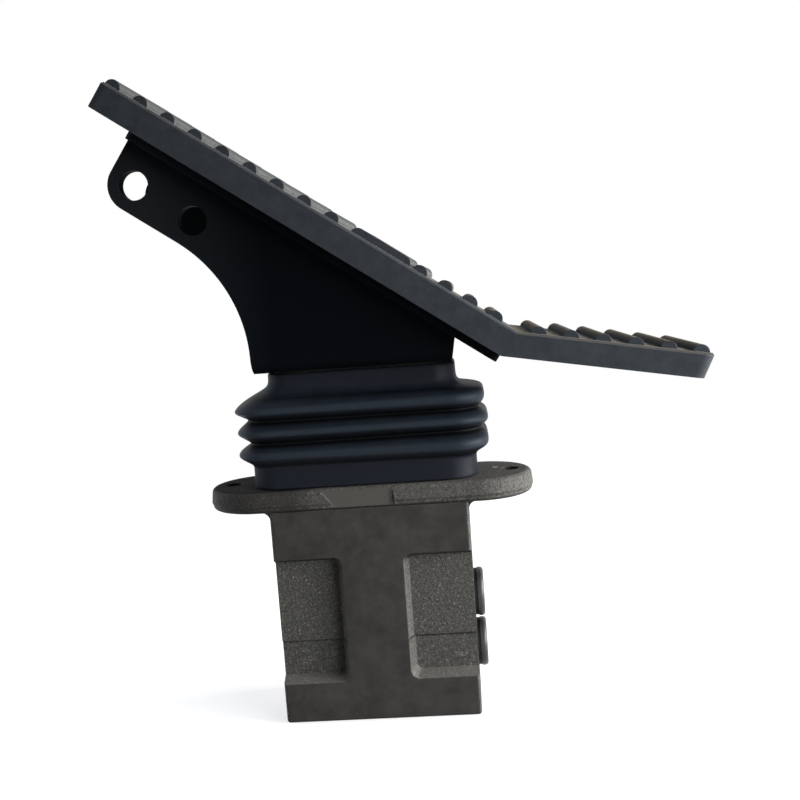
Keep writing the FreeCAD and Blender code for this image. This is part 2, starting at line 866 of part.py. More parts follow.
def boot_skin(offset):
    """The boot's closed outer form, or its hollow when offset is the wall."""
    low_x = housing_length / 2 + boot_gap + boot_wall - offset
    low_y = housing_width / 2 + boot_gap + boot_wall - offset
    top_x = neck_length / 2 + boot_gap + boot_wall - offset
    top_y = neck_width / 2 + boot_gap + boot_wall - offset
    low_radius = housing_corner_radius + boot_gap + boot_wall - offset
    top_radius = neck_corner_radius + boot_gap + boot_wall - offset
    past_end = 1.0 if offset else 0.0
    wires = []
    for reach, z in boot_stations():
        radius = low_radius + boot_corner_growth * reach
        below = past_end if z < flange_top + boot_collar_height / 2 else 0.0
        wires.append(rounded_wire(low_x + reach, low_y + reach, radius, z - below))
    shoulder = boot_stations()[-1][1] + boot_shoulder_rise
    top = neck_top - 2 * boot_gap + past_end
    wires.append(rounded_wire(top_x, top_y, top_radius, shoulder - offset * boot_shoulder_thinning))
    wires.append(rounded_wire(top_x, top_y, top_radius, top))
    return Part.makeLoft(wires, True, True)


def boot():
    """Rubber bellows between the pivot housing and the rocker's neck."""
    return boot_skin(0.0).cut(boot_skin(boot_wall))


def bracket_outline():
    """Side view of the bracket: lug, straight lower edge, concave back and upright front."""
    lug = tread_point(link_hole_start, link_hole_drop)
    plate_drop = base_plate_thickness
    r = bracket_lug_radius
    upper_start = along(tread_point(link_hole_start, plate_drop), tread_dir, -r)
    lug_left = along(lug, tread_dir, -r)
    lug_low = along(lug, tread_up, -r)
    mid = math.sqrt(0.5) * r
    lug_mid = along(along(lug, tread_dir, -mid), tread_up, -mid)
    back_x = -bracket_back_reach
    centre_x = back_x - bracket_back_arc_radius
    arc_x = centre_x + bracket_back_arc_radius * tread_up[0]
    arc_z = lug_low[1] + (arc_x - lug_low[0]) * tread_dir[1] / tread_dir[0]
    centre_z = arc_z - bracket_back_arc_radius * tread_up[1]
    half = math.radians((90 - tread_angle) / 2)
    arc_mid = (centre_x + bracket_back_arc_radius * math.cos(half),
               centre_z + bracket_back_arc_radius * math.sin(half))
    lean = math.tan(math.radians(bracket_front_lean))
    front_low = (bracket_front_reach, neck_top)
    front_high = crossing(front_low, (lean, 1.0), tread_point(0, plate_drop), tread_dir)

    def v(p):
        return vec(p[0], 0, p[1])

    return [
        Part.LineSegment(v(upper_start), v(lug_left)).toShape(),
        Part.Arc(v(lug_left), v(lug_mid), v(lug_low)).toShape(),
        Part.LineSegment(v(lug_low), v((arc_x, arc_z))).toShape(),
        Part.Arc(v((arc_x, arc_z)), v(arc_mid), v((back_x, centre_z))).toShape(),
        Part.LineSegment(v((back_x, centre_z)), v((back_x, neck_top))).toShape(),
        Part.LineSegment(v((back_x, neck_top)), v(front_low)).toShape(),
        Part.LineSegment(v(front_low), v(front_high)).toShape(),
        Part.LineSegment(v(front_high), v(upper_start)).toShape(),
    ]


def channel_section(half_width, bottom, radius, x0, x1, top):
    """A bar along X with two round lower edges."""
    bar = block(x0, x1, -half_width, half_width, bottom, top)
    low = [e for e in bar.Edges
           if e.BoundBox.ZMax < bottom + 0.01 and e.BoundBox.XMax - e.BoundBox.XMin > 1]
    return bar.makeFillet(radius, low)


def pedal_bracket():
    """Thick sheet folded into a channel, with a two-hole lug on each side plate."""
    half = bracket_width / 2
    x0 = under_heel[0] - bracket_width
    x1 = kink_x + bracket_width
    top = top_heel[1] + bracket_width
    sides = side_prism(bracket_outline(), -half, half)
    outer = channel_section(half, neck_top, bracket_bend_radius, x0, x1, top)
    inner = channel_section(half - bracket_thickness, bracket_floor_top,
                            bracket_bend_radius - bracket_thickness, x0 - 1, x1 + 1, top + 1)
    shape = sides.common(outer.cut(inner))
    cutters = []
    for i in range(2):
        x, z = tread_point(link_hole_start + i * link_hole_pitch, link_hole_drop)
        cutters.append(rod_y(link_hole_diameter / 2, -half - 1, half + 1, x, z))
    for x, y in four_corners(bracket_screw_x, bracket_screw_y):
        cutters.append(rod_z(cap_screw_diameter / 2 + seat_gap * 2, neck_top - 1,
                             bracket_floor_top + 1, x, y))
    return shape.cut(compound(cutters))


def bracket_screws():
    length = bracket_thickness + bracket_screw_grip
    return compound([cap_screw(x, y, bracket_floor_top, length)
                     for x, y in four_corners(bracket_screw_x, bracket_screw_y)])


def on_tread(shape, distance, y, lift=0.0):
    """Moves a piece made upright at the origin onto the tread's underside, square to it."""
    x, z = tread_point(distance, -lift)
    shape.rotate(vec(0, 0, 0), vec(0, 1, 0), tread_angle)
    shape.translate(vec(x, y, z))
    return shape


tread_end = (under_kink[0] - under_heel[0]) / tread_dir[0]


def pedal_base_plate():
    """Flat plate welded across the bracket's side plates; the pedal lies on it."""
    length = tread_end - base_plate_start
    half = base_plate_width / 2
    plate = block(0, length, -half, half, -base_plate_thickness, 0)
    upright = [e for e in plate.Edges if e.BoundBox.ZMax - e.BoundBox.ZMin > base_plate_thickness / 2]
    plate = plate.makeFillet(pedal_corner_radius, upright)
    for start in pedal_screw_starts:
        for y in (-pedal_screw_y, pedal_screw_y):
            hole = rod_z(pedal_screw_diameter / 2 + seat_gap * 2, -base_plate_thickness - 1, 1,
                         start - base_plate_start, y)
            plate = plate.cut(hole)
    return on_tread(plate, base_plate_start, 0)


def rib_bar(length, spread=0.0):
    """A half-round bar across the pedal, widened in its middle by spread."""
    r = (rib_width**2 / 4 + rib_height**2) / (2 * rib_height)
    sink = r - rib_height
    root = 1.0
    half = length / 2
    first = rod_y(r, -half, half, 0, -sink)
    bar = first
    if spread:
        second = rod_y(r, -half, half, spread, -sink)
        middle = block(0, spread, -half, half, -root, rib_height)
        bar = fused([first, second, middle])
    keep = block(-rib_width, spread + rib_width, -half, half, -root, rib_height + 1)
    return bar.common(keep)


def rib_starts(first, pitch, last):
    """As many evenly spaced places from the first one as there is room for up to the last."""
    return [first + i * pitch for i in range(int((last - first) // pitch) + 1)]


def pedal_profile():
    return outline([top_heel, top_kink, top_toe, under_toe, under_kink, under_heel])


def pedal_pad():
    """Cast pedal: an inclined tread and a flatter toe, with half-round ribs across both."""
    half = pedal_width / 2
    slab = side_prism(pedal_profile(), -half, half)
    ends = []
    for e in slab.Edges:
        box = e.BoundBox
        low_x = abs(box.XMin - under_heel[0]) < 0.5 and abs(box.XMax - top_heel[0]) < 0.5
        high_x = abs(box.XMin - under_toe[0]) < 0.5 and abs(box.XMax - top_toe[0]) < 0.5
        if low_x or high_x:
            ends.append(e)
    slab = slab.makeFillet(pedal_corner_radius, ends)

    rim = []
    for e in slab.Edges:
        p = e.valueAt((e.FirstParameter + e.LastParameter) / 2)
        rise_tread = (p.x - top_kink[0]) * tread_up[0] + (p.z - top_kink[1]) * tread_up[1]
        rise_toe = (p.x - top_kink[0]) * toe_up[0] + (p.z - top_kink[1]) * toe_up[1]
        on_top = abs(rise_tread) < 0.01 if p.x < top_kink[0] else abs(rise_toe) < 0.01
        crosses = abs(p.y) < 0.01 and abs(p.x - top_kink[0]) < 0.01
        if on_top and not crosses:
            rim.append(e)
    slab = slab.makeChamfer(pedal_edge_chamfer, rim)

    rib_length = pedal_width - 2 * rib_side_margin
    ribs = []
    upper_room = min(badge_start, tread_length) - rib_width / 2 - rib_end_margin
    for start in rib_starts(upper_rib_start, upper_rib_pitch, upper_room):
        ribs.append(on_tread(rib_bar(rib_length), start, 0, tread_thickness))
    badge = rib_bar(rib_length, badge_length - rib_width)
    ribs.append(on_tread(badge, badge_start + rib_width / 2, 0, tread_thickness))
    for start in rib_starts(lower_rib_start, lower_rib_pitch, tread_length - rib_end_margin):
        ribs.append(on_tread(rib_bar(rib_length), start, 0, tread_thickness))
    for start in rib_starts(toe_rib_start, toe_rib_pitch, toe_length - rib_end_margin):
        rib = rib_bar(rib_length)
        x, z = along(top_kink, toe_dir, start)
        rib.rotate(vec(0, 0, 0), vec(0, 1, 0), toe_angle)
        rib.translate(vec(x, 0, z))
        ribs.append(rib)
    slab = fused([slab] + ribs)

    for start in pedal_screw_starts:
        for y in (-pedal_screw_y, pedal_screw_y):
            hole = rod_z(pedal_screw_diameter / 2 + thread_clearance, -1, pedal_screw_depth + 1)
            slab = slab.cut(on_tread(hole, start, y))
    return slab


def pedal_screws():
    screws = []
    for start in pedal_screw_starts:
        for y in (-pedal_screw_y, pedal_screw_y):
            screw = rod_z(pedal_screw_diameter / 2, -base_plate_thickness, pedal_screw_depth)
            head = rod_z(pedal_screw_head_diameter / 2,
                         -base_plate_thickness - pedal_screw_head_height, -base_plate_thickness)
            screws.append(on_tread(screw.fuse(head).removeSplitter(), start, y))
    return compound(screws)


nodes = {
    "valve_body": valve_body(),
    "pressure_port_plug": port_plug(pressure_gallery_height),
    "tank_port_plug": port_plug(tank_gallery_height),
    "port_seal_washers": port_seal_washers(),
    "bush_rings": bush_rings(),
    "rod_seals": rod_seals(),
    "housing_gasket": housing_gasket(),
    "pivot_housing": pivot_housing(),
    "housing_screws": housing_screws(),
    "pivot_pin": pivot_pin(),
    "pin_retaining_rings": pin_retaining_rings(),
    "pivot_bushes": pivot_bushes(),
    "rocker": rocker(),
    "contact_buttons": contact_buttons(),
    "boot": boot(),
    "pedal_bracket": pedal_bracket(),
    "bracket_screws": bracket_screws(),
    "pedal_base_plate": pedal_base_plate(),
    "pedal_pad": pedal_pad(),
    "pedal_screws": pedal_screws(),
}
for side_name, side in (("left", -1), ("right", 1)):
    x = side * spool_x
    nodes["spool_" + side_name] = spool(x)
    nodes["spool_washer_" + side_name] = spool_washer(x)
    nodes["metering_spring_" + side_name] = metering_spring(x)
    nodes["return_spring_" + side_name] = return_spring(x)
    nodes["spring_seat_" + side_name] = spring_seat(x)
    nodes["pushrod_" + side_name] = pushrod(x)
    nodes["guide_bush_" + side_name] = guide_bush(x)

os.makedirs("parts", exist_ok=True)
for name, shape in nodes.items():
    volume = sum(s.Volume for s in shape.Solids)
    print(name, len(shape.Solids), "solids", round(volume), "mm3", "valid", shape.isValid())
    shape.exportStep("parts/" + name + ".step")
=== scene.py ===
import math

import bmesh
import bpy
from mathutils import Matrix, Vector


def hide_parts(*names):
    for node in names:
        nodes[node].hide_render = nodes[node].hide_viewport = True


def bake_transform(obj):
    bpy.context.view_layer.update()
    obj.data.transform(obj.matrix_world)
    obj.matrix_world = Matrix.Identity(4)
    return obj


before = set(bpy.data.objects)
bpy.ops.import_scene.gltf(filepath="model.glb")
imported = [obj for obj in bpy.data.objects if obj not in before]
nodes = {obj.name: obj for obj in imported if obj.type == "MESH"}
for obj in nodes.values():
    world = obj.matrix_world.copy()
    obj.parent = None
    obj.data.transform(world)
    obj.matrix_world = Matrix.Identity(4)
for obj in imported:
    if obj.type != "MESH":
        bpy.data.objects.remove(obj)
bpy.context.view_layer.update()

# hydraulic foot pedal valve: sizes of the object are in millimetres, Blender works in metres
mm = 0.001
print("stage: frame loaded,", len(nodes), "CAD pieces")

# sockets of a Mix node: its factor, the two values or the two colours that it mixes, its result
mixFactor = 0
valueA, valueB, valueOut = 2, 3, 0
colourA, colourB, colourOut = 6, 7, 2


# small helpers

def linear(hexColour):
    # sRGB hex value to the linear colour that the shaders expect
    values = []
    for i in (1, 3, 5):
        c = int(hexColour[i:i + 2], 16) / 255
        values.append(c / 12.92 if c <= 0.04045 else ((c + 0.055) / 1.055) ** 2.4)
    return (*values, 1.0)


def perMetre(sizeInMm):
    # scale of a pattern whose features are this many millimetres apart
    return 1000.0 / sizeInMm


def addNode(tree, kind, settings, links=None):
    # one node: settings are its properties or input values, links feed its inputs
    node = tree.nodes.new(kind)
    for key, value in settings.items():
        if isinstance(key, str) and hasattr(node, key):
            setattr(node, key, value)
        else:
            node.inputs[key].default_value = value
    for key, source in (links or {}).items():
        tree.links.new(source, node.inputs[key])
    return node


def newMaterial(name, settings):
    # an empty material with one Principled shader, and the place of each point in metres
    material = bpy.data.materials.new(name)
    material.use_nodes = True
    tree = material.node_tree
    tree.nodes.clear()
    shader = addNode(tree, "ShaderNodeBsdfPrincipled", settings)
    addNode(tree, "ShaderNodeOutputMaterial", {}, {"Surface": shader.outputs[0]})
    place = addNode(tree, "ShaderNodeTexCoord", {}).outputs["Object"]
    return material, tree, shader, place


def joinToShader(tree, shader, colour, rough, bump):
    # the three inputs that every finish on the object drives
    tree.links.new(colour.outputs[colourOut], shader.inputs["Base Color"])
    tree.links.new(rough.outputs[0], shader.inputs["Roughness"])
    tree.links.new(bump.outputs[0], shader.inputs["Normal"])


def edgeWear(tree, radius, worn=0.8, whole=0.99):
    # 1 on edges and corners, 0 on flats: worn and whole are the cosines of the angle by which the
    # rounded normal leaves the true one
    bevel = addNode(tree, "ShaderNodeBevel", {"samples": 6, "Radius": radius * mm})
    trueNormal = addNode(tree, "ShaderNodeNewGeometry", {}).outputs["Normal"]
    turn = addNode(tree, "ShaderNodeVectorMath", {"operation": "DOT_PRODUCT"},
                   {0: bevel.outputs[0], 1: trueNormal})
    mask = addNode(tree, "ShaderNodeMapRange", {"From Min": whole, "From Max": worn},
                   {"Value": turn.outputs["Value"]})
    return bevel.outputs[0], mask.outputs[0]


def facing(tree, axis, low, high):
    # 0 to 1 as a face turns towards an axis: the true normal's part along it, from low to high
    trueNormal = addNode(tree, "ShaderNodeNewGeometry", {}).outputs["Normal"]
    parts = addNode(tree, "ShaderNodeSeparateXYZ", {}, {0: trueNormal}).outputs
    return addNode(tree, "ShaderNodeMapRange", {"From Min": low, "From Max": high},
                   {"Value": parts[axis]}).outputs[0]


def dress(material, *names):
    # the CAD piece keeps its shape and gets a better material
    for name in names:
        for materialSlot in nodes[name].material_slots:
            materialSlot.material = material


# cast iron under a dark manganese phosphate coat: sand-cast skin looks grainy, with painted glints
# on the tips of its grain, milled faces are even, smoother and darker
# a pair called a turn: how far a face leans towards an axis, as a cosine, where a tint starts
# and where it is full
valveBodyLook = {
    # sand-cast skin; its lightest colour is painted glint on the grain's tips, and also the bared
    # iron of the knock
    "castDark": "#3c3b39", "castLight": "#605f5c", "glintAndBareIron": "#aeaaa4",
    "grain": 1.0, "fineGrain": 0.42,          # sand grains of the mould
    "grainDepth": 0.64,
    "castRoughness": (0.68, 0.36),            # in the hollows, on the tips
    # milled faces
    "milledDark": "#302e2d", "milledLight": "#464443",
    "cloud": 16.0,                            # blotches of the coat
    "milledDepth": 0.05,                      # share of the grain's relief that is left
    "milledRoughness": 0.5,
    "gate": "#53504d",                        # freshly ground, so lighter than the coat
    # painted shade on the flange's left end, and a darker painted shadow on its top there
    "shade": "#272625", "shadeFrom": -22.0, "shadeTo": -34.0, "shadeShare": 0.75,
    "oil": "#0c0c0d", "flangeTopShadowTurn": (0.75, 0.97),
    # painted shade under ledges, painted light on what faces up inside the pockets
    "undersideShade": "#161514", "undersideShadeTurn": (-0.25, -0.7), "undersideShadeShare": 0.8,
    "sillLight": "#8a8782", "sillLightTurn": (0.1, 0.6), "sillLightShare": 0.22,
    # painted shadow: a dark line under the step across each pocket
    "stepZ": 37.5, "stepReach": 1.5, "stepSolid": 0.35, "stepShare": 0.8,
    # a knock beside the right bolt hole has bared the iron
    "knock": (58.4, 4.7, 109.0), "knockReach": 1.8, "knockSolid": 0.5,
    # upward faces hold dust and don't shine
    "dustAndSheenTurn": (0.6, 0.95), "dustRoughness": 0.9,
    "worn": "#76736e", "edge": 0.55, "edgeCosines": (0.82, 0.99), "wornShare": 0.45,
    # where the casting's milled faces and bores lie, and how far a point may be off them
    "faceY": 22.9, "faceX": 44.9, "faceSlack": 0.05, "flangeUnderside": 98.7, "baseSlack": 0.1,
    "boreX": 22.0, "boreRadius": 10.2, "holeX": 65.0, "holeRadius": 4.4,
    "gateY": -24.3, "gateX": -5.0, "gateHalf": 17.3, "gateFade": 3.0, "gateSlack": 0.08,
}


def castSurface(tree, place, look):
    # sand-cast grain: its height, and its colour with painted glints on the tips
    coarse = addNode(tree, "ShaderNodeTexNoise",
                     {"Scale": perMetre(look["grain"]), "Detail": 3.0, "Roughness": 0.6},
                     {"Vector": place})
    fine = addNode(tree, "ShaderNodeTexNoise",
                   {"Scale": perMetre(look["fineGrain"]), "Detail": 2.0, "Roughness": 0.7},
                   {"Vector": place})
    height = addNode(tree, "ShaderNodeMix", {"data_type": "FLOAT", mixFactor: 0.4},
                     {valueA: coarse.outputs[0], valueB: fine.outputs[0]}).outputs[valueOut]
    tone = addNode(tree, "ShaderNodeMapRange", {"From Min": 0.38, "From Max": 0.62},
                   {"Value": height})
    skin = addNode(tree, "ShaderNodeMix",
                   {"data_type": "RGBA", colourA: linear(look["castDark"]),
                    colourB: linear(look["castLight"])}, {mixFactor: tone.outputs[0]})
    # painted glints: the grain's highest tips turn near white
    paintedGlints = addNode(tree, "ShaderNodeMapRange", {"From Min": 0.6, "From Max": 0.72},
                   {"Value": height})
    colour = addNode(tree, "ShaderNodeMix",
                     {"data_type": "RGBA", colourB: linear(look["glintAndBareIron"])},
                     {mixFactor: paintedGlints.outputs[0], colourA: skin.outputs[colourOut]})
    return height, colour.outputs[colourOut]


def castRoughness(tree, height, look):
    # the grain's tips are polished by handling, its hollows stay matt
    inHollows, onTips = look["castRoughness"]
    return addNode(tree, "ShaderNodeMapRange",
                   {"From Min": 0.35, "From Max": 0.68, "To Min": inHollows, "To Max": onTips},
                   {"Value": height})


def groundGate(tree, axes, look):
    # the patch on the flange's front edge where the casting's gate was ground off
    onGate = addNode(tree, "ShaderNodeMath",
                     {"operation": "COMPARE", 1: look["gateY"] * mm, 2: look["gateSlack"] * mm},
                     {0: axes["Y"]})
    fromMiddle = addNode(tree, "ShaderNodeMath", {"operation": "SUBTRACT", 1: look["gateX"] * mm},
                         {0: axes["X"]})
    fromMiddle = addNode(tree, "ShaderNodeMath", {"operation": "ABSOLUTE"},
                         {0: fromMiddle.outputs[0]})
    acrossGate = addNode(tree, "ShaderNodeMapRange",
                         {"interpolation_type": "SMOOTHSTEP", "From Min": look["gateHalf"] * mm,
                          "From Max": (look["gateHalf"] - look["gateFade"]) * mm},
                         {"Value": fromMiddle.outputs[0]})
    return addNode(tree, "ShaderNodeMath", {"operation": "MULTIPLY"},
                   {0: onGate.outputs[0], 1: acrossGate.outputs[0]})


def milledFaces(tree, axes, folded, belowFlange, gate, look):
    # 1 on machined iron: front, back, both ends and the base, the bores and the ground gate
    away = addNode(tree, "ShaderNodeSeparateXYZ", {}, {0: folded}).outputs
    onFront, onEnd = [
        addNode(tree, "ShaderNodeMapRange",
                {"From Min": (reach - look["faceSlack"]) * mm, "From Max": reach * mm},
                {"Value": away[axis]})
        for axis, reach in (("Y", look["faceY"]), ("X", look["faceX"]))]
    upright = addNode(tree, "ShaderNodeMath", {"operation": "MAXIMUM"},
                      {0: onFront.outputs[0], 1: onEnd.outputs[0]})
    milled = addNode(tree, "ShaderNodeMath", {"operation": "MULTIPLY"},
                     {0: upright.outputs[0], 1: belowFlange.outputs[0]})
    masks = [gate, addNode(tree, "ShaderNodeMath",
                           {"operation": "LESS_THAN", 1: look["baseSlack"] * mm}, {0: axes["Z"]})]
    flat = addNode(tree, "ShaderNodeVectorMath", {"operation": "MULTIPLY", 1: (1, 1, 0)},
                   {0: folded})
    for centre, radius in ((look["boreX"], look["boreRadius"]),
                           (look["holeX"], look["holeRadius"])):
        distance = addNode(tree, "ShaderNodeVectorMath",
                           {"operation": "DISTANCE", 1: (centre * mm, 0, 0)}, {0: flat.outputs[0]})
        masks.append(addNode(tree, "ShaderNodeMath", {"operation": "LESS_THAN", 1: radius * mm},
                             {0: distance.outputs["Value"]}))
    for mask in masks:
        milled = addNode(tree, "ShaderNodeMath", {"operation": "MAXIMUM"},
                         {0: milled.outputs[0], 1: mask.outputs[0]})
    return milled.outputs[0]


def tintedSkin(tree, place, axes, skin, belowFlange, look):
    # how the sand-cast skin's colour varies, painted shade and light among the tints, one mask and
    # one tint after another
    onLeft = addNode(tree, "ShaderNodeMapRange",
                     {"From Min": look["shadeFrom"] * mm, "From Max": look["shadeTo"] * mm,
                      "To Max": look["shadeShare"]}, {"Value": axes["X"]})
    onFlange = addNode(tree, "ShaderNodeMath",
                       {"operation": "GREATER_THAN", 1: look["flangeUnderside"] * mm},
                       {0: axes["Z"]})
    # painted shade on the flange's left end, darkest on its upward faces
    shadedLeftEnd = addNode(tree, "ShaderNodeMath", {"operation": "MULTIPLY"},
                    {0: onLeft.outputs[0], 1: onFlange.outputs[0]})
    shadowedFlangeTop = addNode(tree, "ShaderNodeMath", {"operation": "MULTIPLY"},
                   {0: shadedLeftEnd.outputs[0], 1: facing(tree, "Z", *look["flangeTopShadowTurn"])})
    # painted shade on faces that turn downwards
    shadedUnderside = addNode(tree, "ShaderNodeMath", {"operation": "MULTIPLY", 1: look["undersideShadeShare"]},
                    {0: facing(tree, "Z", *look["undersideShadeTurn"])})
    # painted light on faces that turn upwards, below the flange
    upward = addNode(tree, "ShaderNodeMath", {"operation": "MULTIPLY", 1: look["sillLightShare"]},
                     {0: facing(tree, "Z", *look["sillLightTurn"])})
    litSill = addNode(tree, "ShaderNodeMath", {"operation": "MULTIPLY"},
                     {0: upward.outputs[0], 1: belowFlange.outputs[0]})
    # painted shadow in a band just under the step
    solidReach = look["stepReach"] * look["stepSolid"]
    nearStep = addNode(tree, "ShaderNodeMapRange",
                       {"From Min": (look["stepZ"] - look["stepReach"]) * mm,
                        "From Max": (look["stepZ"] - solidReach) * mm,
                        "To Max": look["stepShare"]}, {"Value": axes["Z"]})
    belowStep = addNode(tree, "ShaderNodeMath", {"operation": "LESS_THAN", 1: look["stepZ"] * mm},
                        {0: axes["Z"]})
    stepShadow = addNode(tree, "ShaderNodeMath", {"operation": "MULTIPLY"},
                       {0: nearStep.outputs[0], 1: belowStep.outputs[0]})
    fromKnock = addNode(tree, "ShaderNodeVectorMath",
                        {"operation": "DISTANCE", 1: tuple(v * mm for v in look["knock"])},
                        {0: place})
    knocked = addNode(tree, "ShaderNodeMapRange",
                      {"interpolation_type": "SMOOTHSTEP", "From Min": look["knockReach"] * mm,
                       "From Max": look["knockReach"] * look["knockSolid"] * mm},
                      {"Value": fromKnock.outputs["Value"]})
    for mask, tint in ((shadedLeftEnd, "shade"), (shadedUnderside, "undersideShade"), (litSill, "sillLight"), (stepShadow, "undersideShade"),
                       (shadowedFlangeTop, "oil"), (knocked, "glintAndBareIron")):
        skin = addNode(tree, "ShaderNodeMix",
                       {"data_type": "RGBA", colourB: linear(look[tint])},
                       {mixFactor: mask.outputs[0], colourA: skin}).outputs[colourOut]
    return skin


def phosphatedCastIron(look):
    material, tree, shader, place = newMaterial(
        "phosphated cast iron", {"Specular IOR Level": 0.1})
    axes = addNode(tree, "ShaderNodeSeparateXYZ", {}, {0: place}).outputs
    folded = addNode(tree, "ShaderNodeVectorMath", {"operation": "ABSOLUTE"},
                     {0: place}).outputs[0]
    belowFlange = addNode(tree, "ShaderNodeMath",
                          {"operation": "LESS_THAN", 1: look["flangeUnderside"] * mm},
                          {0: axes["Z"]})
    gate = groundGate(tree, axes, look)
    milled = milledFaces(tree, axes, folded, belowFlange, gate, look)

    height, skin = castSurface(tree, place, look)
    skin = tintedSkin(tree, place, axes, skin, belowFlange, look)
    cloud = addNode(tree, "ShaderNodeTexNoise",
                    {"Scale": perMetre(look["cloud"]), "Detail": 8.0, "Roughness": 0.72},
                    {"Vector": place})
    blotch = addNode(tree, "ShaderNodeMapRange", {"From Min": 0.32, "From Max": 0.68},
                     {"Value": cloud.outputs[0]})
    smooth = addNode(tree, "ShaderNodeMix",
                     {"data_type": "RGBA", colourA: linear(look["milledDark"]),
                      colourB: linear(look["milledLight"])}, {mixFactor: blotch.outputs[0]})
    smooth = addNode(tree, "ShaderNodeMix", {"data_type": "RGBA", colourB: linear(look["gate"])},
                     {mixFactor: gate.outputs[0], colourA: smooth.outputs[colourOut]})
    colour = addNode(tree, "ShaderNodeMix", {"data_type": "RGBA"},
                     {mixFactor: milled, colourA: skin, colourB: smooth.outputs[colourOut]})
    rounded, worn = edgeWear(tree, look["edge"], *look["edgeCosines"])
    wear = addNode(tree, "ShaderNodeMath", {"operation": "MULTIPLY", 1: look["wornShare"]},
                   {0: worn})
    colour = addNode(tree, "ShaderNodeMix", {"data_type": "RGBA", colourB: linear(look["worn"])},
                     {mixFactor: wear.outputs[0], colourA: colour.outputs[colourOut]})

    rough = addNode(tree, "ShaderNodeMix",
                    {"data_type": "FLOAT", valueB: look["milledRoughness"]},
                    {mixFactor: milled, valueA: castRoughness(tree, height, look).outputs[0]})
    rough = addNode(tree, "ShaderNodeMix", {"data_type": "FLOAT", valueB: look["dustRoughness"]},
                    {mixFactor: facing(tree, "Z", *look["dustAndSheenTurn"]),
                     valueA: rough.outputs[valueOut]})

    depth = addNode(tree, "ShaderNodeMapRange", {"To Min": 1.0, "To Max": look["milledDepth"]},
                    {"Value": milled})
    relief = addNode(tree, "ShaderNodeMath", {"operation": "MULTIPLY"},
                     {0: height, 1: depth.outputs[0]})
    bump = addNode(tree, "ShaderNodeBump", {"Distance": look["grainDepth"] * mm},
                   {"Height": relief.outputs[0], "Normal": rounded})
    joinToShader(tree, shader, colour, rough, bump)
    return material


dress(phosphatedCastIron(valveBodyLook), "valve_body")
print("stage: valve body dressed")


# grey iron castings inside the boot: same coat, but sand-cast all over, with fewer painted glints
# on the tips
hiddenCastingLook = dict(valveBodyLook, castDark="#3d3b38", castLight="#56534e",
                         glintAndBareIron="#77736b", grainDepth=0.48, castRoughness=(0.7, 0.42),
                         wornShare=0.4)


def phosphatedRoughCasting(look):
    material, tree, shader, place = newMaterial(
        "phosphated rough casting", {"Specular IOR Level": 0.1})
    height, skin = castSurface(tree, place, look)
    rounded, worn = edgeWear(tree, look["edge"], *look["edgeCosines"])
    wear = addNode(tree, "ShaderNodeMath", {"operation": "MULTIPLY", 1: look["wornShare"]},
                   {0: worn})
    colour = addNode(tree, "ShaderNodeMix", {"data_type": "RGBA", colourB: linear(look["worn"])},
                     {mixFactor: wear.outputs[0], colourA: skin})
    bump = addNode(tree, "ShaderNodeBump", {"Distance": look["grainDepth"] * mm},
                   {"Height": height, "Normal": rounded})
    joinToShader(tree, shader, colour, castRoughness(tree, height, look), bump)
    return material


# folded sheet steel under black powder coat: even, nearly matt, with a fine orange peel, a faint
# grey where the coat is thin on edges, and a painted reflection lighting the lug's front
bracketLook = {
    "coat": "#020305", "thin": "#060a0e",
    "dustAndSheen": "#1d2023", "sheenFrom": -35.0, "sheenTo": -85.0,   # painted reflection: the lug's front is lighter towards its left end
    "dustAndSheenTurn": (-0.6, -0.95),
    "peel": 1.6, "peelDepth": 0.02, "drift": 30.0,
    "edgeTint": "#1b1e22", "edge": 0.5, "wornShare": 0.5,
    "roughness": (0.5, 0.65),
}


def blackPowderCoat(look):
    material, tree, shader, place = newMaterial(
        "black powder-coated steel", {"Specular IOR Level": 0.025})
    drift = addNode(tree, "ShaderNodeTexNoise",
                    {"Scale": perMetre(look["drift"]), "Detail": 3.0}, {"Vector": place})
    peel = addNode(tree, "ShaderNodeTexNoise",
                   {"Scale": perMetre(look["peel"]), "Detail": 1.0}, {"Vector": place})
    coat = addNode(tree, "ShaderNodeMix",
                   {"data_type": "RGBA", colourA: linear(look["coat"]),
                    colourB: linear(look["thin"])}, {mixFactor: drift.outputs[0]})
    along = addNode(tree, "ShaderNodeSeparateXYZ", {}, {0: place}).outputs["X"]
    # painted reflection: front faces turn lighter towards the left end
    towardsLeftEnd = addNode(tree, "ShaderNodeMapRange",
                      {"From Min": look["sheenFrom"] * mm, "From Max": look["sheenTo"] * mm},
                      {"Value": along})
    dustAndSheenMask = addNode(tree, "ShaderNodeMath", {"operation": "MULTIPLY"},
                    {0: towardsLeftEnd.outputs[0], 1: facing(tree, "Y", *look["dustAndSheenTurn"])})
    rounded, worn = edgeWear(tree, look["edge"])
    thin = addNode(tree, "ShaderNodeMath", {"operation": "MULTIPLY", 1: look["wornShare"]},
                   {0: worn})
    colour = coat
    for mask, tint in ((dustAndSheenMask, "dustAndSheen"), (thin, "edgeTint")):
        colour = addNode(tree, "ShaderNodeMix", {"data_type": "RGBA", colourB: linear(look[tint])},
                         {mixFactor: mask.outputs[0], colourA: colour.outputs[colourOut]})
    rough = addNode(tree, "ShaderNodeMapRange",
                    {"To Min": look["roughness"][0], "To Max": look["roughness"][1]},
                    {"Value": drift.outputs[0]})
    bump = addNode(tree, "ShaderNodeBump", {"Distance": look["peelDepth"] * mm},
                   {"Height": peel.outputs[0], "Normal": rounded})
    joinToShader(tree, shader, colour, rough, bump)
    return material


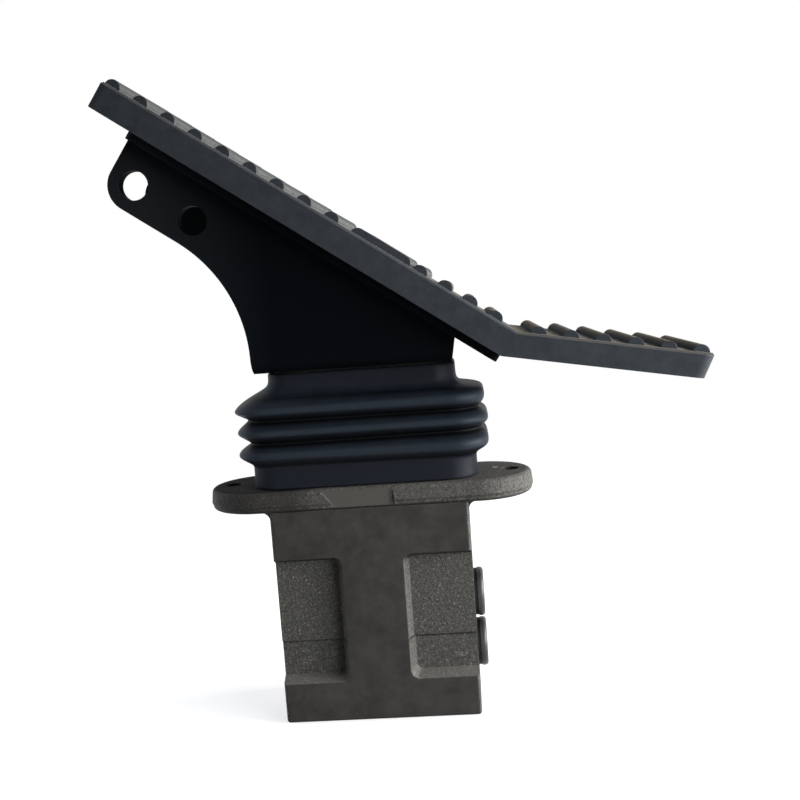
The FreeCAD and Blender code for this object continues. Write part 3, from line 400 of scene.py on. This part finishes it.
# sand-cast aluminium pedal under a satin blue-grey epoxy coat: the coat evens out the casting
# but leaves it finely mottled; rib crowns and edges are lighter from wear and a painted highlight
pedalLook = {
    "coat": "#202428", "light": "#363b41", "mottle": 7.0, "mottleShare": 0.4,
    "toeLightFrom": -90.0, "toeLightTo": 50.0, "toeLightShare": 0.42,    # painted light: the coat turns paler towards the toe
    "toeFaceLight": "#3a3c3d", "toeFaceLightTurn": (0.3, 0.9),         # painted light on faces turned to the toe end, towards the window
    "dustAndTopLight": "#69635b", "dustAndTopLightTurn": (0.55, 1.0),        # brownish dust from the driver's soles, and painted top light on upward faces
    "wornAndLitCrown": "#76787a", "edge": 0.5, "edgeCosines": (0.78, 0.985),
    "grit": 0.7, "gritDepth": 0.05,
    "roughness": (0.34, 0.5),
    "dullTurn": (0.05, 0.4), "dullRoughness": 0.95,          # trodden faces have lost their satin
}


def satinEpoxyOnAluminium(look):
    material, tree, shader, place = newMaterial(
        "satin epoxy on cast aluminium", {"Specular IOR Level": 0.15})
    mottle = addNode(tree, "ShaderNodeTexNoise",
                     {"Scale": perMetre(look["mottle"]), "Detail": 5.0, "Roughness": 0.65},
                     {"Vector": place})
    grit = addNode(tree, "ShaderNodeTexNoise",
                   {"Scale": perMetre(look["grit"]), "Detail": 2.0}, {"Vector": place})
    tone = addNode(tree, "ShaderNodeMapRange", {"From Min": 0.35, "From Max": 0.65},
                   {"Value": mottle.outputs[0]})
    along = addNode(tree, "ShaderNodeSeparateXYZ", {}, {0: place}).outputs["X"]
    # painted light: paler towards the toe, the end nearer the window
    litTowardsToe = addNode(tree, "ShaderNodeMapRange",
                   {"From Min": look["toeLightFrom"] * mm, "From Max": look["toeLightTo"] * mm,
                    "To Max": look["toeLightShare"]}, {"Value": along})
    share = addNode(tree, "ShaderNodeMath", {"operation": "MULTIPLY_ADD", 1: look["mottleShare"]},
                    {0: tone.outputs[0], 2: litTowardsToe.outputs[0]})
    coat = addNode(tree, "ShaderNodeMix",
                   {"data_type": "RGBA", colourA: linear(look["coat"]),
                    colourB: linear(look["light"])}, {mixFactor: share.outputs[0]})
    rounded, worn = edgeWear(tree, look["edge"], *look["edgeCosines"])
    # wear and painted highlight: edges and rib crowns turn lighter where the mottle is high
    rubbedAndLitRidges = addNode(tree, "ShaderNodeMath", {"operation": "MULTIPLY"},
                     {0: worn, 1: mottle.outputs[0]})
    colour = coat
    # painted light on faces turned to the toe end, dust and painted top light on upward faces, wear
    # and painted highlight on crowns and edges
    for mask, tint in ((facing(tree, "X", *look["toeFaceLightTurn"]), "toeFaceLight"),
                       (facing(tree, "Z", *look["dustAndTopLightTurn"]), "dustAndTopLight"),
                       (rubbedAndLitRidges.outputs[0], "wornAndLitCrown")):
        colour = addNode(tree, "ShaderNodeMix", {"data_type": "RGBA", colourB: linear(look[tint])},
                         {mixFactor: mask, colourA: colour.outputs[colourOut]})
    rough = addNode(tree, "ShaderNodeMapRange",
                    {"From Min": 0.35, "From Max": 0.65,
                     "To Min": look["roughness"][0], "To Max": look["roughness"][1]},
                    {"Value": mottle.outputs[0]})
    rough = addNode(tree, "ShaderNodeMix", {"data_type": "FLOAT", valueB: look["dullRoughness"]},
                    {mixFactor: facing(tree, "Z", *look["dullTurn"]), valueA: rough.outputs[0]})
    bump = addNode(tree, "ShaderNodeBump", {"Distance": look["gritDepth"] * mm},
                   {"Height": grit.outputs[0], "Normal": rounded})
    joinToShader(tree, shader, colour, rough, bump)
    return material


# smaller metal, rubber and fibre parts: what each finish shows is in its line
finishes = {
    # zinc phosphate and oil on turned plugs: dark grey, fine crystals, dull gloss
    "phosphated steel": {"colours": ("#2f3133", "#414345"), "metallic": 0.5, "grain": 0.6,
                         "depth": 0.02, "roughness": (0.35, 0.5), "edge": 0.35, "worn": "#8a8a88"},
    # black oxide on screws: blue-black, smooth, bright only where a key has rubbed
    "black oxide steel": {"colours": ("#1b1c1f", "#26282b"), "metallic": 0.6, "grain": 1.2,
                          "depth": 0.01, "roughness": (0.3, 0.42), "edge": 0.25, "worn": "#6f7073"},
    # hardened and ground pins and rods: bright, with faint grinding marks
    "ground hardened steel": {"colours": ("#8f9194", "#a6a8aa"), "metallic": 1.0, "grain": 0.4,
                              "depth": 0.004, "roughness": (0.18, 0.28), "edge": 0.3,
                              "worn": "#c4c5c7"},
    # leaded bronze bushes: warm brown metal, turned and slightly tarnished
    "leaded bronze": {"colours": ("#8a5f33", "#a5773f"), "metallic": 1.0, "grain": 0.8,
                      "depth": 0.008, "roughness": (0.3, 0.42), "edge": 0.3, "worn": "#c79a5e"},
    # oil-tempered spring wire: grey-brown drawn steel with a soft gloss
    "oil-tempered spring wire": {"colours": ("#4a4743", "#5f5b55"), "metallic": 0.9, "grain": 0.9,
                                 "depth": 0.006, "roughness": (0.3, 0.45), "edge": 0.2,
                                 "worn": "#8d8982"},
    # nitrile rubber seals: matt black
    "nitrile rubber": {"colours": ("#17181a", "#1f2022"), "metallic": 0.0, "grain": 0.7,
                       "depth": 0.01, "roughness": (0.5, 0.62), "edge": 0.2, "worn": "#2b2c2e"},
    # compressed fibre gasket: dull grey-green paper with short fibres
    "compressed fibre gasket": {"colours": ("#4c5149", "#666b60"), "metallic": 0.0, "grain": 0.9,
                                "depth": 0.02, "roughness": (0.75, 0.9), "edge": 0.1,
                                "worn": "#74786d"},
}


def smallPartFinish(name):
    look = finishes[name]
    material, tree, shader, place = newMaterial(
        name, {"Metallic": look["metallic"],
               "Specular IOR Level": 0.5 if look["metallic"] else 0.25})
    grain = addNode(tree, "ShaderNodeTexNoise",
                    {"Scale": perMetre(look["grain"]), "Detail": 4.0, "Roughness": 0.6},
                    {"Vector": place})
    tone = addNode(tree, "ShaderNodeMapRange", {"From Min": 0.35, "From Max": 0.65},
                   {"Value": grain.outputs[0]})
    skin = addNode(tree, "ShaderNodeMix",
                   {"data_type": "RGBA", colourA: linear(look["colours"][0]),
                    colourB: linear(look["colours"][1])}, {mixFactor: tone.outputs[0]})
    rounded, worn = edgeWear(tree, look["edge"])
    colour = addNode(tree, "ShaderNodeMix", {"data_type": "RGBA", colourB: linear(look["worn"])},
                     {mixFactor: worn, colourA: skin.outputs[colourOut]})
    rough = addNode(tree, "ShaderNodeMapRange",
                    {"To Min": look["roughness"][0], "To Max": look["roughness"][1]},
                    {"Value": tone.outputs[0]})
    bump = addNode(tree, "ShaderNodeBump", {"Distance": look["depth"] * mm},
                   {"Height": grain.outputs[0], "Normal": rounded})
    joinToShader(tree, shader, colour, rough, bump)
    return material


def bothSides(*names):
    return [name + side for name in names for side in ("_left", "_right")]


dress(phosphatedRoughCasting(hiddenCastingLook), "pivot_housing", "rocker")
dress(blackPowderCoat(bracketLook), "pedal_bracket", "pedal_base_plate")
dress(satinEpoxyOnAluminium(pedalLook), "pedal_pad")
dress(smallPartFinish("phosphated steel"), "pressure_port_plug", "tank_port_plug")
dress(smallPartFinish("black oxide steel"), "housing_screws", "bracket_screws", "pedal_screws",
      "pin_retaining_rings")
dress(smallPartFinish("ground hardened steel"), "pivot_pin", "contact_buttons",
      *bothSides("spool", "spool_washer", "spring_seat", "pushrod", "guide_bush"))
dress(smallPartFinish("leaded bronze"), "pivot_bushes")
dress(smallPartFinish("oil-tempered spring wire"), *bothSides("metering_spring", "return_spring"))
dress(smallPartFinish("nitrile rubber"), "port_seal_washers", "bush_rings", "rod_seals")
dress(smallPartFinish("compressed fibre gasket"), "housing_gasket")
print("stage: castings, bracket, pedal and small parts dressed")


# rubber boot: a moulded bellows, taller at the port side because the pedal leans it
bootShape = {
    "foot": (51.3, 22.2, 13.0),       # half length, half width and corner radius at the bottom
    "wall": 2.4,
    "cornerSteps": 8,
    "straight": 12.0, "longCuts": 9, "shortCuts": 3,     # edges longer than this are cut
    # first and last ring of the folds, reach of a valley and of a ridge, and the collars' tone
    "folds": (5, 24), "valleyY": 23.0, "ridgeY": 29.4, "plain": 0.62,
    # rings from the foot up: reach at the left, right and front, height at the left and right end
    "rings": [
        (52.5, 50.3, 22.2, 109.3, 109.3), (52.7, 50.4, 22.3, 109.9, 109.9),
        (52.6, 50.2, 22.1, 113.5, 113.5), (52.6, 50.2, 22.1, 117.6, 117.0),
        (52.5, 50.2, 22.1, 119.6, 119.0), (54.0, 51.4, 23.4, 120.9, 120.3),
        (57.2, 54.4, 27.6, 123.4, 122.2), (58.3, 56.0, 29.2, 124.8, 123.6),
        (57.9, 56.2, 29.3, 126.4, 126.2), (56.3, 55.7, 27.9, 127.9, 128.6),
        (53.6, 54.3, 24.2, 129.4, 130.2), (52.7, 53.6, 22.9, 130.1, 131.0),
        (53.6, 54.2, 23.6, 131.0, 132.0), (56.7, 55.9, 27.9, 133.6, 133.8),
        (58.0, 56.6, 29.7, 134.8, 135.2), (57.8, 56.3, 29.4, 136.3, 137.0),
        (56.4, 55.0, 27.6, 137.8, 138.8), (53.9, 52.9, 24.0, 139.8, 140.0),
        (53.1, 52.3, 23.0, 140.7, 140.6), (54.0, 53.0, 24.0, 141.6, 141.4),
        (57.4, 54.6, 28.2, 143.6, 143.0), (58.8, 55.4, 29.9, 144.9, 145.2),
        (58.0, 55.3, 29.3, 146.4, 147.8), (56.2, 54.2, 27.4, 148.2, 149.2),
        (52.4, 50.2, 24.6, 150.8, 150.3), (46.6, 45.0, 21.4, 153.6, 151.0),
        (43.8, 43.1, 19.9, 155.2, 152.4), (42.9, 42.8, 19.4, 157.2, 155.6),
        (42.9, 42.8, 19.3, 159.6, 158.6), (42.9, 42.8, 19.3, 161.5, 161.5),
    ],
}


def footOutline(bm, shape):
    # the lower collar's outline: a rectangle with round corners, its straight runs cut finely
    halfX, halfY, corner = shape["foot"]
    bmesh.ops.create_grid(bm, x_segments=1, y_segments=1, size=1.0)
    bmesh.ops.scale(bm, vec=(halfX * mm, halfY * mm, 1), verts=bm.verts)
    bmesh.ops.bevel(bm, geom=bm.verts[:], offset=corner * mm, offset_type="OFFSET",
                    segments=shape["cornerSteps"], profile=0.5, affect="VERTICES", material=-1)
    bmesh.ops.delete(bm, geom=bm.faces[:], context="FACES_ONLY")
    for along, cuts in ((0, shape["longCuts"]), (1, shape["shortCuts"])):
        runs = [e for e in bm.edges
                if abs(e.verts[0].co[along] - e.verts[1].co[along]) > shape["straight"] * mm]
        bmesh.ops.subdivide_edges(bm, edges=runs, cuts=cuts)


def buildBoot(shape):
    halfX, halfY = shape["foot"][:2]
    bm = bmesh.new()
    footOutline(bm, shape)

    # each point keeps how far it is a ridge (1) or a valley (0), for the painted light on ridges
    # and painted shade in valleys
    fold = bm.verts.layers.float.new("fold")
    before = Matrix.Identity(4)
    ring = bm.edges[:]
    for i, (reachLeft, reachRight, ringY, lowLeft, lowRight) in enumerate(shape["rings"]):
        ringX = (reachLeft + reachRight) / 2
        lean = Matrix.Identity(4)
        lean[2][0] = (lowRight - lowLeft) / (2 * ringX)
        centre = ((reachRight - reachLeft) / 2 * mm, 0, (lowLeft + lowRight) / 2 * mm)
        after = (Matrix.Translation(centre) @ lean
                 @ Matrix.Diagonal((ringX / halfX, ringY / halfY, 1, 1)))
        if i:
            made = bmesh.ops.extrude_edge_only(bm, edges=ring)["geom"]
            moving = [g for g in made if isinstance(g, bmesh.types.BMVert)]
            ring = [g for g in made
                    if isinstance(g, bmesh.types.BMEdge) and all(v in moving for v in g.verts)]
        else:
            moving = bm.verts[:]
        bmesh.ops.transform(bm, matrix=after @ before.inverted(), verts=moving)
        folded = shape["folds"][0] <= i <= shape["folds"][1]
        rise = (ringY - shape["valleyY"]) / (shape["ridgeY"] - shape["valleyY"])
        for vert in moving:
            vert[fold] = min(max(rise, 0.0), 1.0) if folded else shape["plain"]
        before = after
    bmesh.ops.recalc_face_normals(bm, faces=bm.faces)
    for face in bm.faces:
        face.smooth = True

    mesh = bpy.data.meshes.new("rubber_boot")
    bm.to_mesh(mesh)
    bm.free()
    boot = bpy.data.objects.new("rubber_boot", mesh)
    bpy.context.scene.collection.objects.link(boot)
    wall = boot.modifiers.new("wall", "SOLIDIFY")
    wall.thickness = shape["wall"] * mm
    wall.offset = -1.0
    soften = boot.modifiers.new("soften", "SUBSURF")
    soften.levels = soften.render_levels = 2
    return boot


# moulded chloroprene rubber: blue-black, dull, a soft sheen on the folds and a light dusting
# where they catch the air; painted light on the ridges and painted shade in the valleys
bootLook = {
    "rubber": "#14181f", "dustAndSheen": "#232a33", "dustAndSheenTurn": (0.1, 0.9), "mottle": 9.0,
    "valleyShade": "#06080a", "valleyFold": (0.62, 0.2),      # where on the fold each tint starts
    "rubbedAndLitRidges": "#262d35", "ridgeFold": (0.8, 1.0),        # and where it is full
    "skin": 0.8, "skinDepth": 0.03, "roughness": (0.44, 0.58),
}


def mouldedRubber(look):
    material, tree, shader, place = newMaterial(
        "moulded chloroprene rubber", {"Specular IOR Level": 0.1})
    mottle = addNode(tree, "ShaderNodeTexNoise",
                     {"Scale": perMetre(look["mottle"]), "Detail": 4.0, "Roughness": 0.6},
                     {"Vector": place})
    skin = addNode(tree, "ShaderNodeTexNoise",
                   {"Scale": perMetre(look["skin"]), "Detail": 2.0}, {"Vector": place})
    dustAndSheenMask = addNode(tree, "ShaderNodeMath", {"operation": "MULTIPLY"},
                    {0: facing(tree, "Z", *look["dustAndSheenTurn"]), 1: mottle.outputs[0]})
    colour = addNode(tree, "ShaderNodeMix",
                     {"data_type": "RGBA", colourA: linear(look["rubber"]),
                      colourB: linear(look["dustAndSheen"])}, {mixFactor: dustAndSheenMask.outputs[0]})
    fold = addNode(tree, "ShaderNodeAttribute", {"attribute_name": "fold"}).outputs["Fac"]
    # painted shade in the valleys, painted light on the ridges
    for tint, (start, full) in (("valleyShade", look["valleyFold"]), ("rubbedAndLitRidges", look["ridgeFold"])):
        mask = addNode(tree, "ShaderNodeMapRange", {"From Min": start, "From Max": full},
                       {"Value": fold})
        colour = addNode(tree, "ShaderNodeMix", {"data_type": "RGBA", colourB: linear(look[tint])},
                         {mixFactor: mask.outputs[0], colourA: colour.outputs[colourOut]})
    rough = addNode(tree, "ShaderNodeMapRange",
                    {"From Min": 0.3, "From Max": 0.7,
                     "To Min": look["roughness"][0], "To Max": look["roughness"][1]},
                    {"Value": mottle.outputs[0]})
    bump = addNode(tree, "ShaderNodeBump", {"Distance": look["skinDepth"] * mm},
                   {"Height": skin.outputs[0]})
    joinToShader(tree, shader, colour, rough, bump)
    return material


boot = buildBoot(bootShape)
boot.data.materials.append(mouldedRubber(bootLook))
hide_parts("boot")
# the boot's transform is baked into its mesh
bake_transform(boot)
print("stage: boot built")


# floor, light and camera: the studio is in metres, the camera's place in millimetres

stageLook = {
    "floorSize": 12.0, "floorCells": 8,
    "floorColour": "#c9c9c9", "floorGlow": 0.62,     # what the camera sees near the object
    "fadeFrom": 0.3, "fadeTo": 0.75,                 # distance at which the floor turns white
    "floorBounce": "#6e6e6e",                        # what the floor throws back on the object
    "worldTint": "#f4f7ff", "worldFill": 0.04,
    "aim": (0.0, 0.0, 0.15),                         # what the soft boxes are turned to
}


def seenAsWhite(tree):
    # 1 for what the camera, mirrors and glass see, 0 for the light that falls on the object
    path = addNode(tree, "ShaderNodeLightPath", {}).outputs
    first = addNode(tree, "ShaderNodeMath", {"operation": "MAXIMUM"},
                    {0: path["Is Camera Ray"], 1: path["Is Glossy Ray"]})
    return addNode(tree, "ShaderNodeMath", {"operation": "MAXIMUM"},
                   {0: first.outputs[0], 1: path["Is Transmission Ray"]}).outputs[0]


def paleFloor(look):
    bm = bmesh.new()
    bmesh.ops.create_grid(bm, x_segments=look["floorCells"], y_segments=look["floorCells"],
                          size=look["floorSize"] / 2)
    mesh = bpy.data.meshes.new("floor")
    bm.to_mesh(mesh)
    bm.free()
    floor = bpy.data.objects.new("floor", mesh)
    bpy.context.scene.collection.objects.link(floor)

    material = bpy.data.materials.new("matt white floor")
    material.use_nodes = True
    tree = material.node_tree
    tree.nodes.clear()
    diffuse = addNode(tree, "ShaderNodeBsdfDiffuse", {"Color": linear(look["floorColour"])})
    bounce = addNode(tree, "ShaderNodeBsdfDiffuse", {"Color": linear(look["floorBounce"])})
    glow = addNode(tree, "ShaderNodeEmission", {"Strength": look["floorGlow"]})
    near = addNode(tree, "ShaderNodeAddShader", {}, {0: diffuse.outputs[0], 1: glow.outputs[0]})
    white = addNode(tree, "ShaderNodeEmission", {"Strength": 1.0})
    place = addNode(tree, "ShaderNodeTexCoord", {}).outputs["Object"]
    distance = addNode(tree, "ShaderNodeVectorMath", {"operation": "LENGTH"}, {0: place})
    fade = addNode(tree, "ShaderNodeMapRange",
                   {"interpolation_type": "SMOOTHSTEP",
                    "From Min": look["fadeFrom"], "From Max": look["fadeTo"]},
                   {"Value": distance.outputs["Value"]})
    seen = addNode(tree, "ShaderNodeMixShader", {},
                   {0: fade.outputs[0], 1: near.outputs[0], 2: white.outputs[0]})
    final = addNode(tree, "ShaderNodeMixShader", {},
                    {0: seenAsWhite(tree), 1: bounce.outputs[0], 2: seen.outputs[0]})
    addNode(tree, "ShaderNodeOutputMaterial", {}, {"Surface": final.outputs[0]})
    mesh.materials.append(material)


def whiteWorld(look):
    world = bpy.data.worlds.new("white room")
    bpy.context.scene.world = world
    world.use_nodes = True
    tree = world.node_tree
    tree.nodes.clear()
    fill = addNode(tree, "ShaderNodeBackground",
                   {"Color": linear(look["worldTint"]), "Strength": look["worldFill"]})
    white = addNode(tree, "ShaderNodeBackground", {"Color": linear("#ffffff"), "Strength": 1.0})
    both = addNode(tree, "ShaderNodeMixShader", {},
                   {0: seenAsWhite(tree), 1: fill.outputs[0], 2: white.outputs[0]})
    addNode(tree, "ShaderNodeOutputWorld", {}, {"Surface": both.outputs[0]})


# an unmirrored box lights the object but leaves no bright patch in its gloss
softBoxes = {
    "window": {"place": (1.19, -0.12, 0.33), "size": 0.8, "power": 38.0, "colour": "#fffefb",
               "mirrored": True},
    "front right": {"place": (0.95, -0.75, 0.35), "size": 0.7, "power": 13.0, "colour": "#ffffff",
                    "mirrored": True},
    "top": {"place": (0.2, 0.5, 1.6), "size": 1.2, "power": 3.5, "colour": "#f7faff",
            "mirrored": False},
    "left": {"place": (-1.5, 0.45, 0.3), "size": 1.0, "power": 36.0, "colour": "#f3f6ff",
             "mirrored": False},
    "back": {"place": (0.3, 1.7, 0.25), "size": 1.0, "power": 18.0, "colour": "#ffffff",
             "mirrored": False},
}


def hangSoftBoxes(boxes, aimedAt):
    for name, box in boxes.items():
        lamp = bpy.data.lights.new(name + " soft box", "AREA")
        lamp.shape = "SQUARE"
        lamp.size = box["size"]
        lamp.energy = box["power"]
        lamp.color = linear(box["colour"])[:3]
        holder = bpy.data.objects.new(name + " soft box", lamp)
        holder.location = box["place"]
        holder.visible_glossy = box["mirrored"]
        aim = Vector(aimedAt) - Vector(box["place"])
        holder.rotation_euler = aim.to_track_quat("-Z", "Y").to_euler()
        bpy.context.scene.collection.objects.link(holder)


cameraView = {
    "place": (48.25, -476.58, 195.2), "yaw": 3.83, "pitch": 6.11, "roll": 4.18, "lens": 46.51,
    "nearest": 10.0,
}


def placeCamera(view):
    yaw, pitch, roll = (math.radians(view[k]) for k in ("yaw", "pitch", "roll"))
    forward = Vector((-math.sin(yaw) * math.cos(pitch), math.cos(yaw) * math.cos(pitch),
                      -math.sin(pitch)))
    right = forward.cross(Vector((0, 0, 1))).normalized()
    up = right.cross(forward)
    tiltedRight = math.cos(roll) * right - math.sin(roll) * up
    tiltedUp = math.sin(roll) * right + math.cos(roll) * up
    lens = bpy.data.cameras.new("camera")
    lens.lens = view["lens"]
    lens.clip_start = view["nearest"] * mm
    camera = bpy.data.objects.new("camera", lens)
    matrix = Matrix((tiltedRight, tiltedUp, -forward)).transposed().to_4x4()
    matrix.translation = Vector(view["place"]) * mm
    camera.matrix_world = matrix
    bpy.context.scene.collection.objects.link(camera)
    bpy.context.scene.camera = camera


paleFloor(stageLook)
whiteWorld(stageLook)
hangSoftBoxes(softBoxes, stageLook["aim"])
placeCamera(cameraView)
bpy.context.scene.view_settings.view_transform = "Standard"
print("stage: floor, light and camera set")
